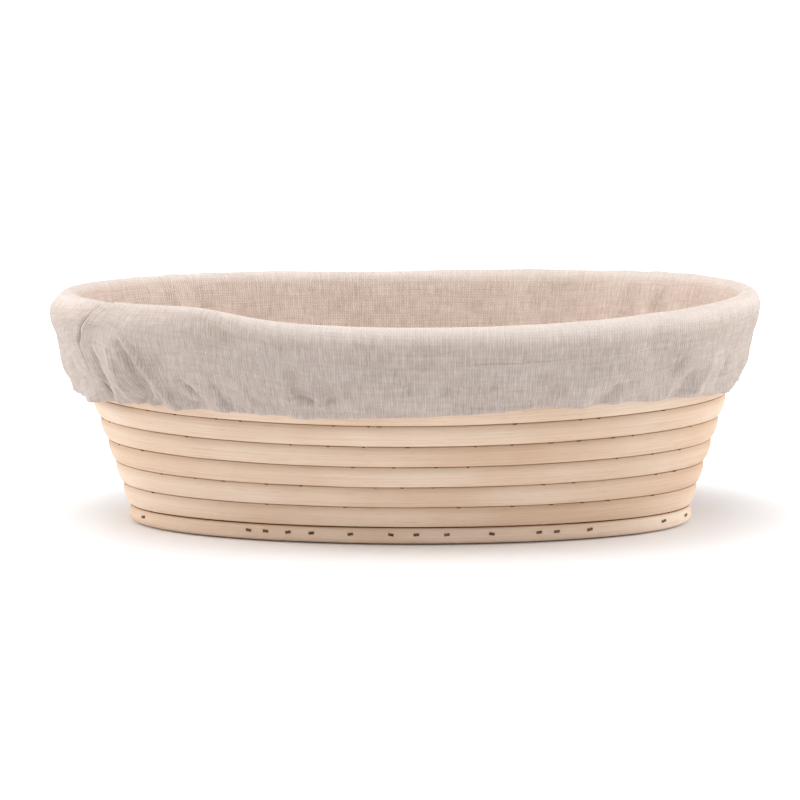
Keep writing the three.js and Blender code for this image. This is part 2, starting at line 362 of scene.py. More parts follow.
def caneTree():
    # Sweeps one D-shaped cane along a path: nearly flat outside, ridged inside.
    tree, given = newTree("caneAlongPath", [
        ("Width", "NodeSocketFloat", 8.4 * mm), ("Depth", "NodeSocketFloat", 5.8 * mm),
        ("Crown", "NodeSocketFloat", 0.5 * mm), ("Groove", "NodeSocketFloat", 0.9 * mm),
        ("Foot", "NodeSocketFloat", 0.0), ("Sides", "NodeSocketInt", 44),
        ("Wobble", "NodeSocketFloat", 0.1 * mm),
        ("Seed", "NodeSocketFloat", 0.0), ("Material", "NodeSocketMaterial", None)])
    path = add(tree, "GeometryNodeSetCurveNormal", {"mode": "Z_UP"}, {"Curve": given["Geometry"]})
    circle = add(tree, "GeometryNodeCurvePrimitiveCircle", {"mode": "RADIUS"}, {
        "Resolution": given["Sides"], "Radius": 1.0})
    unit = add(tree, "ShaderNodeSeparateXYZ", inputs={
        "Vector": add(tree, "GeometryNodeInputPosition")})
    cosine, sine = unit.outputs["X"], unit.outputs["Y"]
    outer = add(tree, "FunctionNodeCompare", {"data_type": "FLOAT", "operation": "GREATER_THAN"},
                {0: cosine, 1: 0.0})
    power = add(tree, "GeometryNodeSwitch", {"input_type": "FLOAT"},
                {"Switch": outer, "False": 0.85, "True": 0.5})
    absCos = add(tree, "ShaderNodeMath", "ABSOLUTE", {0: cosine})
    absSin = add(tree, "ShaderNodeMath", "ABSOLUTE", {0: sine})
    signSin = add(tree, "ShaderNodeMath", "SIGN", {0: sine})
    xShare = add(tree, "ShaderNodeMath", "POWER", {0: absCos, 1: power})
    yShare = add(tree, "ShaderNodeMath", "POWER", {0: absSin, 1: power})
    inside = add(tree, "ShaderNodeMath", "SUBTRACT",
                 {0: given["Groove"], 1: given["Depth"]})
    reach = add(tree, "GeometryNodeSwitch", {"input_type": "FLOAT"}, {
        "Switch": outer, "False": inside, "True": given["Groove"]})
    shell = add(tree, "ShaderNodeMath", "MULTIPLY", {0: xShare, 1: reach})
    level = add(tree, "ShaderNodeMath", "SUBTRACT", {0: shell, 1: given["Groove"]})
    square = add(tree, "ShaderNodeMath", "MULTIPLY", {0: yShare, 1: yShare})
    bow = add(tree, "ShaderNodeMath", "SUBTRACT", {0: 1.0, 1: square})
    bowOut = add(tree, "ShaderNodeMath", "MULTIPLY", {0: bow, 1: given["Crown"]})
    crown = add(tree, "GeometryNodeSwitch", {"input_type": "FLOAT"}, {
        "Switch": outer, "False": 0.0, "True": bowOut})
    out = add(tree, "ShaderNodeMath", "ADD", {0: level, 1: crown})
    halfWidth = add(tree, "ShaderNodeMath", "MULTIPLY", {0: given["Width"], 1: 0.5})
    side = add(tree, "ShaderNodeMath", "MULTIPLY", {0: yShare, 1: signSin})
    across = add(tree, "ShaderNodeMath", "MULTIPLY", {0: side, 1: halfWidth})
    # the section's own coordinates are stored before its points move
    marks = add(tree, "ShaderNodeCombineXYZ", inputs={"X": out, "Y": across, "Z": given["Seed"]})
    marked = add(tree, "GeometryNodeStoreNamedAttribute",
                 {"data_type": "FLOAT_VECTOR", "domain": "POINT"},
                 {"Geometry": circle, "Name": "section", "Value": marks})
    # the lowest turn is rounded off underneath, less so towards its inner face
    lower = add(tree, "ShaderNodeMath", "MAXIMUM", {0: side, 1: 0.0})
    lower = add(tree, "ShaderNodeMath", "POWER", {0: lower, 1: 4.0})
    share = add(tree, "ShaderNodeMath", "DIVIDE", {0: out, 1: given["Depth"]})
    share = add(tree, "ShaderNodeMath", "MULTIPLY_ADD", {0: share, 1: lower, 2: lower})
    tuck = add(tree, "ShaderNodeMath", "MULTIPLY", {0: share, 1: given["Foot"]})
    tucked = add(tree, "ShaderNodeMath", "SUBTRACT", {0: out, 1: tuck})
    corner = add(tree, "ShaderNodeCombineXYZ", inputs={"X": tucked, "Y": across, "Z": 0.0})
    profile = add(tree, "GeometryNodeSetPosition", inputs={
        "Geometry": marked, "Position": corner})
    swept = add(tree, "GeometryNodeCurveToMesh", inputs={
        "Curve": path, "Profile Curve": profile, "Fill Caps": False})
    uneven = add(tree, "ShaderNodeTexNoise", {"noise_dimensions": "4D"}, {
        "Vector": add(tree, "GeometryNodeInputPosition"),
        "W": given["Seed"], "Scale": 38.0, "Detail": 2.0})
    centred = add(tree, "ShaderNodeMath", "SUBTRACT", {0: uneven, 1: 0.5})
    swell = add(tree, "ShaderNodeMath", "MULTIPLY",
                {0: centred, 1: given["Wobble"]})
    push = add(tree, "ShaderNodeVectorMath", "SCALE", {
        "Vector": add(tree, "GeometryNodeInputNormal"), "Scale": swell})
    worn = add(tree, "GeometryNodeSetPosition", inputs={
        "Geometry": swept, "Offset": push})
    smooth = add(tree, "GeometryNodeSetShadeSmooth", inputs={"Geometry": worn})
    real = add(tree, "GeometryNodeRealizeInstances", inputs={"Geometry": smooth})
    finished = add(tree, "GeometryNodeSetMaterial", inputs={
        "Geometry": real, "Material": given["Material"]})
    add(tree, "NodeGroupOutput", inputs={"Geometry": finished})
    return tree


def makeCaneRings(material):
    tree = caneTree()
    angles = fullTurn(cane["stepsRound"])
    common = {"Depth": wall["depth"], "Crown": wall["crown"] + cane["wobble"] * 0.2,
              "Groove": cane["groove"], "Sides": cane["sides"], "Wobble": cane["wobble"] * 2,
              "Material": material}
    width = wall["baseHeight"] - wall["gap"] * 0.4
    path = makePath("baseRingPath", basePoint(angles, width / 2 + 0.06 * mm, 0.0), np.zeros(len(angles)))
    rings = [runTree(path, tree, {**common, "Width": width, "Foot": cane["foot"], "Seed": 0.0}, "baseRing")]
    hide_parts("base_ring")
    for turn in range(1, wall["turns"] + 1):
        last = turn == wall["turns"]
        # the turns press into each other a little, so that no light shows between them
        start = (turn - 1) * wall["pitch"] - wall["gap"] * 0.6
        end = rimTop if last else turn * wall["pitch"] - wall["gap"] * 0.1
        path = makePath("wallPath", wallPoint(angles, (start + end) / 2, 0.0), wallSlope(angles))
        name = "rimRing" if last else f"wallRing{turn}"
        ring = runTree(path, tree, {**common, "Width": end - start, "Seed": turn * 3.7}, name)
        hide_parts("rim_ring" if last else f"wall_ring_{turn}")
        rings.append(ring)
    for ring in rings:
        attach(ring, "basket")


def ovalLimit(across, lengthwise):
    # half the room inside the base ring, at a distance from the middle line
    a, b = wall["halfLength"] - cane["inset"], wall["halfWidth"] - cane["inset"]
    if not lengthwise:
        a, b = b, a
    return a * math.sqrt(max(1 - (across / b) ** 2, 0.01))


def floorBar(name, middle, width, low, high, lengthwise, material, seed):
    # a straight split cane with eased edges, whose ends follow the oval
    steps, sides = 60, 24
    points, marks = [], []
    for i in range(steps + 1):
        for j in range(sides):
            turn = 2 * math.pi * j / sides
            c, s = math.cos(turn), math.sin(turn)
            across = width / 2 * math.copysign(abs(c) ** 0.35, c)
            rise = (high - low) / 2 * math.copysign(abs(s) ** 0.5, s)
            along = (2 * i / steps - 1) * ovalLimit(middle + across, lengthwise)
            spot = (along, middle + across) if lengthwise else (middle + across, along)
            points.append((*spot, (low + high) / 2 + rise))
            marks.append((0.0, across, seed))
    faces = gridFaces(steps + 1, sides, closeColumns=True)
    faces += [tuple(range(sides))[::-1], tuple(range(steps * sides, (steps + 1) * sides))]
    if not lengthwise:
        faces = [face[::-1] for face in faces]
    bar = makeMesh(name, points, [face[::-1] for face in faces], material)
    attribute = bar.data.attributes.new("section", "FLOAT_VECTOR", "POINT")
    attribute.data.foreach_set("vector", np.array(marks).ravel())
    return bar


def makeFloor(material, battenMaterial):
    for index in range(cane["floorStrips"]):
        middle = (index + 0.5 - cane["floorStrips"] / 2) * wall["pitch"]
        bar = floorBar(f"floorCane{index + 1}", middle, wall["pitch"] - wall["gap"],
                       cane["floorBottom"], cane["floorTop"], True, material, 5.3 * index)
        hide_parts(f"floor_cane_{index + 1}")
        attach(bar, "basket")
    for index in range(cane["battens"]):
        low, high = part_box(f"cross_batten_{index + 1}")
        bar = floorBar(f"crossBatten{index + 1}", (low.x + high.x) / 2, cane["battenWidth"],
                       cane["battenClear"], cane["battenHeight"], False, battenMaterial, 9.1 * index)
        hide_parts(f"cross_batten_{index + 1}")
        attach(bar, "basket")


rattan = caneMaterial("rattanCore", [
    (0.3, "#D7B79B"), (0.46, "#E4C8AE"), (0.6, "#EDD6C0"), (0.75, "#F3E3D3")])
splitRattan = caneMaterial("splitRattan", [(0.3, "#B8926B"), (0.5, "#CBA77F"), (0.7, "#D9BB97")])
makeCaneRings(rattan)
makeFloor(rattan, splitRattan)
print("cane rings and floor made")


nail = dict(
    groove=dict(Spacing=12.5 * mm, Jitter=5 * mm, Keep=0.6, Length=1.5 * mm, Width=0.7 * mm,
                Proud=0.35 * mm, Spread=0.4),
    batten=dict(Spacing=8.66 * mm, Jitter=0.6 * mm, Keep=1.0, Length=1.9 * mm, Width=1.7 * mm,
                Proud=0.15 * mm, Spread=0.05),
)


def nailMaterial():
    # Mild steel brads, browned by flour dough damp: dark, dull, with lighter rubbed patches.
    material, tree, shader = newMaterial("brownedSteel")
    place = add(tree, "ShaderNodeTexCoord").outputs["Object"]
    rust = add(tree, "ShaderNodeTexNoise", inputs={"Vector": place, "Scale": 900.0, "Detail": 3.0})
    colour = add(tree, "ShaderNodeValToRGB", {
        "stops": [(0.35, "#57392A"), (0.55, "#70513A"), (0.75, "#97806D")]}, {"Fac": rust.outputs["Fac"]})
    rough = add(tree, "ShaderNodeMapRange", inputs={
        "Value": rust.outputs["Fac"], "To Min": 0.7, "To Max": 0.42})
    bump = add(tree, "ShaderNodeBump", inputs={
        "Strength": 0.4, "Distance": 0.05 * mm, "Height": rust.outputs["Fac"]})
    feed(tree, shader, {
        "Base Color": colour.outputs["Color"], "Metallic": 0.25, "Roughness": rough,
        "Normal": bump.outputs["Normal"]})
    return material


def headTree():
    # Sets small chamfered heads, or stitches, at uneven distances along a path.
    tree, given = newTree("headsAlongPath", [
        ("Spacing", "NodeSocketFloat", 10 * mm), ("Jitter", "NodeSocketFloat", 0.0),
        ("Keep", "NodeSocketFloat", 1.0), ("Length", "NodeSocketFloat", 2 * mm),
        ("Width", "NodeSocketFloat", 1 * mm), ("Proud", "NodeSocketFloat", 0.2 * mm),
        ("Spread", "NodeSocketFloat", 0.2), ("Seed", "NodeSocketInt", 0),
        ("Material", "NodeSocketMaterial", None)])
    path = add(tree, "GeometryNodeSetCurveNormal", {"mode": "Z_UP"}, {"Curve": given["Geometry"]})
    total = add(tree, "GeometryNodeCurveLength", inputs={"Curve": path})
    share = add(tree, "ShaderNodeMath", "DIVIDE", {0: total, 1: given["Spacing"]})
    count = add(tree, "ShaderNodeMath", "FLOOR", {0: share})
    points = add(tree, "GeometryNodePoints", inputs={"Count": count})
    least = add(tree, "ShaderNodeMath", "MULTIPLY", {0: given["Jitter"], 1: -1.0})
    stray = add(tree, "FunctionNodeRandomValue", {"data_type": "FLOAT"}, {
        2: least, 3: given["Jitter"], "Seed": given["Seed"]}).outputs[1]
    order = add(tree, "GeometryNodeInputIndex")
    step = add(tree, "ShaderNodeMath", "ADD", {0: order, 1: 0.5})
    along = add(tree, "ShaderNodeMath", "MULTIPLY_ADD",
                {0: step, 1: given["Spacing"], 2: stray})
    spot = add(tree, "GeometryNodeSampleCurve", {"mode": "LENGTH"}, {
        "Curves": path, "Length": along})
    placed = add(tree, "GeometryNodeSetPosition", inputs={
        "Geometry": points, "Position": spot.outputs["Position"]})
    turned = add(tree, "FunctionNodeAxesToRotation", {"primary_axis": "X", "secondary_axis": "Z"}, {
        "Primary Axis": spot.outputs["Tangent"], "Secondary Axis": spot.outputs["Normal"]})
    kept = add(tree, "FunctionNodeRandomValue", {"data_type": "BOOLEAN"}, {
        "Probability": given["Keep"], "Seed": add(tree, "ShaderNodeMath", "ADD", {
            0: given["Seed"], 1: 7.0})})
    low = add(tree, "ShaderNodeMath", "SUBTRACT", {0: 1.0, 1: given["Spread"]})
    high = add(tree, "ShaderNodeMath", "ADD", {0: 1.0, 1: given["Spread"]})
    longer = add(tree, "FunctionNodeRandomValue", {"data_type": "FLOAT"}, {
        2: low, 3: high, "Seed": add(tree, "ShaderNodeMath", "ADD", {
            0: given["Seed"], 1: 13.0})}).outputs[1]
    length = add(tree, "ShaderNodeMath", "MULTIPLY", {0: given["Length"], 1: longer})
    size = add(tree, "ShaderNodeCombineXYZ", inputs={
        "X": length, "Y": given["Width"], "Z": given["Proud"]})
    block = add(tree, "GeometryNodeMeshCube", inputs={
        "Size": (1.0, 1.0, 2.0), "Vertices X": 3, "Vertices Y": 3, "Vertices Z": 3})
    corner = add(tree, "GeometryNodeInputPosition")
    level = add(tree, "ShaderNodeSeparateXYZ", inputs={"Vector": corner}).outputs["Z"]
    taper = add(tree, "ShaderNodeMapRange", inputs={
        "Value": level, "From Min": 0.0, "From Max": 1.0, "To Min": 1.0, "To Max": 0.62})
    eased = add(tree, "ShaderNodeCombineXYZ", inputs={"X": taper, "Y": taper, "Z": 1.0})
    shaped = add(tree, "ShaderNodeVectorMath", "MULTIPLY", {0: corner, 1: eased})
    head = add(tree, "GeometryNodeSetPosition", inputs={"Geometry": block, "Position": shaped})
    heads = add(tree, "GeometryNodeInstanceOnPoints", inputs={
        "Points": placed, "Selection": kept.outputs[3], "Instance": head,
        "Rotation": turned, "Scale": size})
    real = add(tree, "GeometryNodeRealizeInstances", inputs={"Geometry": heads})
    finished = add(tree, "GeometryNodeSetMaterial", inputs={
        "Geometry": real, "Material": given["Material"]})
    add(tree, "NodeGroupOutput", inputs={"Geometry": finished})
    return tree


def makeNails(tree):
    steel = nailMaterial()
    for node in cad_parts:
        if node.startswith("base_nail"):
            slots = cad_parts[node].data.materials
            slots.clear()
            slots.append(steel)
    angles = fullTurn(cane["stepsRound"])
    rows = []
    for turn in range(wall["turns"]):
        points = wallPoint(angles, turn * wall["pitch"] - wall["gap"] * 0.5, -0.55 * mm)
        path = makePath("groovePath", points, wallSlope(angles))
        rows.append(runTree(path, tree, {**nail["groove"], "Seed": 20 + turn, "Material": steel}, "row"))
    nails = join(rows, "grooveNails")
    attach(nails, "basket")
    rows = []
    for index in range(cane["battens"]):
        low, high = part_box(f"cross_batten_{index + 1}")
        middle = (low.x + high.x) / 2
        reach = (cane["floorStrips"] - 1) / 2 * wall["pitch"] + wall["pitch"] / 2
        reach = min(reach, high.y - 2 * mm)
        points = [(middle, y, 0.2 * mm) for y in np.linspace(-reach, reach, 20)]
        path = makePath("battenPath", points, np.full(20, -math.pi / 2), closed=False)
        rows.append(runTree(path, tree, {**nail["batten"], "Seed": 50 + index, "Material": steel}, "row"))
    nails = join(rows, "battenNails")
    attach(nails, "basket")


headsAlongPath = headTree()
makeNails(headsAlongPath)
print("nails made")


# Linen strip of the liner: up the inside, over the rim, down outside and under at the hem.
# Pairs are (degrees round the basket, millimetres), read anticlockwise from the right end.
linen = dict(
    thickness=0.42 * mm, inside=-6.8, columns=500, rows=96, warp=0.95 * mm, weft=1.05 * mm,
    threadsRound=695, hemHeight=5.4 * wall["pitch"] / mm, hemFold=6.6, hemGap=1.4,
    seamAngle=207, seamTop=37, bottomInset=9 * mm,
    seam=[(0, 211.5), (3.6, 210.2), (11.6, 205.7), (21.6, 203.8), (28, 206), (33, 210), (37, 213)],
    crest=[(0, 1.5), (32, 2.6), (53, 2.7), (70, 3.2), (86, 2.7), (98, 2.3), (122, 2.5), (135, 2.1),
           (151, 1.6), (170, 1.8), (190, 2.3), (205, 2.6), (213, 3.6), (226, 5.2), (237, 5.8),
           (247, 3.0), (254, 2.1), (263, 1.6), (271, 1.2), (290, 0.6), (300, 0.3), (311, 0.2),
           (326, 0.4), (336, 0.8), (349, 1.2)],
    hem=[(0, 0.6), (25, 2.5), (60, 3.4), (95, 2.2), (130, 1.2), (165, -0.6), (190, -0.9), (204, 0.7),
         (212, 1.4), (228, 2.0), (260, 1.6), (276, 2.2), (285, 3.8), (300, 4.5), (311, 3.9),
         (328, 2.8), (337, 2.1), (349, 0.4)],
    bellyTop=[(0, 1.5), (40, 2.0), (90, 2.2), (150, 3.2), (178, 4.8), (192, 4.8), (206, 3.9),
              (228, 3.4), (250, 2.4), (270, 2.1), (310, 1.8), (340, 1.5)],
    bellyMid=[(0, 2.0), (40, 2.5), (90, 2.7), (150, 3.6), (178, 5.0), (192, 5.0), (206, 4.3),
              (228, 3.9), (250, 2.9), (270, 2.6), (310, 2.3), (340, 2.0)],
    bellyLow=[(0, 3.0), (40, 2.9), (90, 3.0), (150, 4.0), (178, 5.6), (192, 5.6), (206, 4.4),
              (228, 3.8), (250, 3.0), (270, 2.9), (310, 2.8), (340, 3.0)],
    hemOut=[(0, 2.1), (90, 2.1), (140, 2.8), (170, 4.4), (193, 4.4), (206, 3.2), (222, 2.4),
            (250, 2.1), (340, 2.1)],
    gather=[(0, 0.9), (40, 0.75), (90, 0.55), (140, 0.8), (185, 0.8), (205, 1.0), (240, 1.0),
            (255, 0.8), (270, 0.65), (300, 0.62), (320, 0.75), (345, 0.85)],
)
# gathers that the elastic makes: (how many round the hem, depth, how far up they reach), mm
gathers = [(152, 0.6, 4.5, 11), (76, 1.25, 9, 12), (34, 1.6, 17, 13)]
# single creases: start and end as (degrees, mm above the hem), half width, depth
creases = [
    ((207.5, 20), (209.8, 3), 1.9, -0.9), ((212.5, 21), (215.4, 3), 2.0, 1.2),
    ((216.4, 24), (220.8, 4), 2.9, -1.4), ((217.5, 27), (226.4, 4), 1.5, 1.5),
    ((221.5, 16), (224.2, 5), 1.4, -1.0), ((230.3, 12), (233.6, 4), 1.6, -1.0),
    ((237.4, 11), (238.6, 4), 1.5, -0.8), ((243.5, 13), (245.5, 4), 1.7, -0.5),
    ((252.9, 21), (253.7, 9), 1.5, -1.5), ((253.7, 9), (255.6, 7), 1.2, -1.1),
    ((258.8, 14.5), (259.3, 8.5), 1.7, -1.2), ((250.9, 20), (251.7, 7), 1.7, 0.9),
    ((256.6, 14), (257.2, 6), 1.3, 1.0), ((261.5, 15), (262.0, 6), 1.7, 0.7),
    ((273.4, 18), (272.5, 11), 1.3, -0.8),
    ((280.0, 17), (278.7, 10), 1.3, -0.9), ((287.6, 15), (287.3, 10.5), 1.5, -0.9),
    ((298.5, 13), (297.6, 6), 1.7, -0.6), ((312.0, 12), (310.0, 4), 1.9, -0.7),
    ((326.9, 15.5), (323.4, 11), 1.6, -0.9), ((330.2, 11), (326.3, 3), 1.7, -1.0),
    ((336.0, 16), (332.0, 3), 2.2, 0.9), ((341.5, 14), (338.5, 2), 2.0, -0.8),
    ((350.0, 12), (349.0, 2), 2.2, -0.7), ((60.0, 17), (62.0, 4), 1.9, -0.9),
    ((98.0, 15), (97.0, 6), 1.8, -1.1), ((121.0, 19), (118.5, 5), 1.8, -1.1),
    ((146.0, 20), (141.0, 4), 2.2, -1.2), ((158.0, 18), (155.0, 3), 2.4, 1.0),
]
# soft upright folds inside: (degrees, half width mm, depth mm)
innerFolds = [(28, 5, 1.3), (37, 4, 1.9), (46, 6, 1.5), (66, 7, 0.9), (84, 9, 1.1), (117, 8, 0.8),
              (133, 5, 1.2), (142, 4, 1.8), (151, 5, 1.5), (203, 6, 1.2), (232, 7, 1.0), (318, 7, 1.1)]


def roundBasket(angles, pairs, blur=7):
    # a smooth closed line through pairs of degrees and values
    degrees = np.arange(360)
    line = np.interp(degrees, [p[0] for p in pairs], [p[1] for p in pairs], period=360)
    window = np.hanning(2 * blur + 3)[1:-1]
    line = np.convolve(np.concatenate([line[-blur:], line, line[:blur]]), window / window.sum(), "valid")
    return np.interp(np.degrees(angles) % 360, degrees, line, period=360)


def clothNoise(x, y, cells, seed):
    # smooth noise from -1 to 1 that closes after so many cells in x
    lattice = np.random.default_rng(seed).uniform(-1, 1, (64, cells))
    column, row = np.floor(x).astype(int), np.floor(y).astype(int)
    fx, fy = x - column, y - row
    fx, fy = fx * fx * (3 - 2 * fx), fy * fy * (3 - 2 * fy)
    top = lattice[row % 64, column % cells] * (1 - fx) + lattice[row % 64, (column + 1) % cells] * fx
    row = row + 1
    low = lattice[row % 64, column % cells] * (1 - fx) + lattice[row % 64, (column + 1) % cells] * fx
    return top * (1 - fy) + low * fy


def smoothStep(value, low, high):
    t = np.clip((value - low) / (high - low), 0, 1)
    return t * t * (3 - 2 * t)


# distance round the basket at mid skirt, in mm, against the angle
fineAngles = np.radians(np.arange(0, 360.5, 0.5))
finePoints = wallPoint(fineAngles, 60 * mm, 2 * mm) / mm
fineRun = np.concatenate([[0], np.cumsum(np.linalg.norm(np.diff(finePoints, axis=0), axis=1))])
runTotal = fineRun[-1]


def runAt(angles):
    turns = np.floor(np.asarray(angles) / (2 * math.pi))
    return np.interp(angles - turns * 2 * math.pi, fineAngles, fineRun) + turns * runTotal


def skirtFolds(angles, height):
    # stand-off in mm at a height above the hem: elastic gathers and single creases
    run = runAt(angles)
    up = np.maximum(height, 0)
    share = roundBasket(angles, linen["gather"])
    lean = 0.9 * np.cos(angles) * np.sin(angles)          # gathers fan out towards the ends
    folds = np.zeros(np.broadcast(run, up).shape)
    for cells, depth, reach, seed in gathers:
        x = (run + lean * up) / runTotal * cells
        bent = x + 0.4 * clothNoise(x / 2, up / 6, cells, seed + 40)
        ridge = np.abs(clothNoise(bent, up / 14 + 3, cells, seed))
        folds = folds + (ridge - 0.32) * 2 * depth * share * np.exp(-up / reach)
    for (startAngle, startUp), (endAngle, endUp), width, depth in creases:
        a, b = runAt(math.radians(startAngle)), runAt(math.radians(endAngle))
        dx, dy = b - a, endUp - startUp
        px = (run - a + runTotal / 2) % runTotal - runTotal / 2
        t = np.clip((px * dx + (height - startUp) * dy) / (dx * dx + dy * dy), 0, 1)
        away = np.hypot(px - t * dx, height - startUp - t * dy)
        grow = width * (0.55 + 0.45 * t)
        folds = folds + 1.45 * depth * (0.5 + 0.5 * smoothStep(t, 0, 0.35)) * np.exp(-(away / grow) ** 2)
    soft = clothNoise(run / runTotal * 44, height / 11 + 9, 44, 21)
    fine = clothNoise(run / runTotal * 150, height / 5 + 5, 150, 22)
    return folds + 0.45 * soft + 0.12 * fine


def insideFolds(angles, along):
    # how far the lining stands in from the cane, in mm
    run = runAt(angles)
    full = 1 - smoothStep(along, 20, 78)                  # fullest near the bottom, where it is narrower
    soft = 0.5 + 0.5 * clothNoise(run / runTotal * 26 + along / 90, along / 45, 26, 31)
    folds = soft ** 1.5 * (0.5 + 1.3 * full)
    pleats = np.abs(clothNoise(run / runTotal * 58, along / 26, 58, 32))
    folds = folds + pleats * 1.0 * full
    for degrees, width, depth in innerFolds:
        place = runAt(math.radians(degrees)) + 0.05 * (along - 60)
        away = (run - place + runTotal / 2) % runTotal - runTotal / 2
        folds = folds + 1.7 * depth * (0.6 + 0.4 * full) * np.exp(-(away / width) ** 2)
    return folds + 0.12 * clothNoise(run / runTotal * 120, along / 6, 120, 33)


def seamRise(angles, height):
    # the sewn-on front edge stands proud of the cloth behind it; second value: how near the seam, for the
    # painted shadow beside it
    away = runAt(angles) - runAt(np.radians(np.interp(height, *zip(*linen["seam"]))))
    away = (away + runTotal / 2) % runTotal - runTotal / 2
    edge = smoothStep(away, -0.25, 0.25) * 1.5 * np.exp(-np.maximum(away, 0) / 6)
    return edge - 1.5 * np.exp(-((away + 1.5) / 1.2) ** 2), np.exp(-((away + 1.5) / 1.0) ** 2)


def clothPoint(angles, along, out):
    # a point of the folded cloth, from its place in the plain section, all in mm
    hem = linen["hemHeight"] + roundBasket(angles, linen["hem"])
    rim = rimTop / mm
    middle = (wall["crown"] - wall["depth"]) / 2 / mm
    rise = np.maximum(along - (rim - 4), 0)
    side = out - middle
    length = np.hypot(rise, side)
    facing = side / length                                # 1 outside, 0 on top, -1 inside
    outside = smoothStep(facing, -0.2, 0.75)
    height = along - hem
    # folds flatten out where the cloth turns over the rim
    skirtShare = 1 - 0.55 * smoothStep(along, rim - 6, rim + 1)
    liningShare = 1 - 0.8 * smoothStep(along, rim - 8, rim + 1)
    amount = outside * (skirtFolds(angles, height) * skirtShare)
    amount = amount + (1 - outside) * insideFolds(angles, along) * liningShare
    seamHeight = np.where(facing > 0, height, linen["seamTop"])
    amount = amount + seamRise(angles, seamHeight)[0] * (0.3 + 0.7 * outside)
    newAlong = along + amount * rise / length
    newOut = out + amount * facing
    under = smoothStep(height, -1, 0.5) * (facing > 0.9)
    least = np.minimum(out, np.where(out < roundBasket(angles, linen["hemOut"]) - 0.7, 0.72, 1.55))
    newOut = np.where(under > 0, np.maximum(newOut, least), newOut)
    return wallPoint(angles, newAlong * mm, newOut * mm)


def clothSection(angles):
    # control points of the section, as (along, out) in mm for every angle
    slope = wallSlope(angles)
    rim, inside = rimTop / mm, linen["inside"]
    crest = rim + roundBasket(angles, linen["crest"])
    hem = linen["hemHeight"] + roundBasket(angles, linen["hem"])
    top, mid, low = [roundBasket(angles, linen[k]) for k in ("bellyTop", "bellyMid", "bellyLow")]
    hemOut = roundBasket(angles, linen["hemOut"])
    back = hemOut - linen["hemGap"]

    def corner(reach, rise):
        # a point near the floor, given level and upright
        return rise * np.cos(slope) + reach * np.sin(slope), reach * np.cos(slope) - rise * np.sin(slope)

    controls = [corner(-9.1, 0.25), corner(-8.5, 0.6), corner(-7.8, 1.9),
                (5, inside), (12, inside), (22, inside), (34, inside), (46, inside), (58, inside),
                (68, inside), (rim - 5, inside),
                (rim - 0.5, inside), (crest - 0.3, -5.2), (crest + 0.35, -3.4), (crest + 0.3, -1.6),
                (crest - 0.9, 0.2), (crest - 3.2, top * 0.82), (crest - 6.5, top),
                (crest - 10.5, top * 0.5 + mid * 0.5),
                (hem + 20, mid), (hem + 16, mid), (hem + 12, mid * 0.5 + low * 0.5), (hem + 9, low),
                (hem + 6, low), (hem + 3.2, low * 0.4 + hemOut * 0.6), (hem + 1.2, hemOut),
                (hem + 0.1, hemOut), (hem - 0.35, hemOut - linen["hemGap"] / 2),
                (hem + 0.1, back), (hem + 1.4, back),
                (hem + 4, back), (hem + linen["hemFold"], back)]
    # rows wanted for each control point
    crowd = [1.2, 1.2, 1.2, 2, 2, 2.4, 2.6, 2.6, 2.4, 2.2, 2, 2.2, 2.4, 2.4, 2.4, 2.4, 3, 3.4,
             4, 4, 4, 4, 4, 4, 3.6, 2.4, 1.8, 1.8, 1.8, 2, 2.2, 1.5]
    table = np.array([[np.broadcast_to(v, angles.shape) for v in pair] for pair in controls])
    table = np.concatenate([table[:1], table[:1], table, table[-1:], table[-1:]])
    crowd = [crowd[0]] + crowd + [crowd[-1]]
    steps = np.concatenate([[0], np.cumsum(crowd)])
    wanted = np.linspace(0, steps[-1], linen["rows"])
    places = np.interp(wanted, steps, np.linspace(0, len(table) - 3, len(steps)))
    span = np.minimum(places.astype(int), len(table) - 4)
    t = (places - span)[:, None, None]
    weights = [(1 - t) ** 3, 3 * t ** 3 - 6 * t ** 2 + 4, -3 * t ** 3 + 3 * t ** 2 + 3 * t + 1, t ** 3]
    section = sum(w * table[span + k] for k, w in enumerate(weights)) / 6
    return section[:, 0], section[:, 1]


def clothAngles():
    # columns start at the sewn seam and stand closer where the folds are small
    start = math.radians(linen["seamAngle"])
    fine = np.linspace(0, 2 * math.pi, 3601)
    turned = np.degrees(fine)
    crowd = 1 + 1.5 * np.exp(-((turned - 14) / 26) ** 4) + 2.5 * np.exp(-(turned / 2.5) ** 2)
    crowd = crowd + 2.5 * np.exp(-((turned - 360) / 2.5) ** 2)
    total = np.concatenate([[0], np.cumsum((crowd[1:] + crowd[:-1]) / 2)])
    return start + np.interp(np.arange(linen["columns"]) / linen["columns"], total / total[-1], fine)


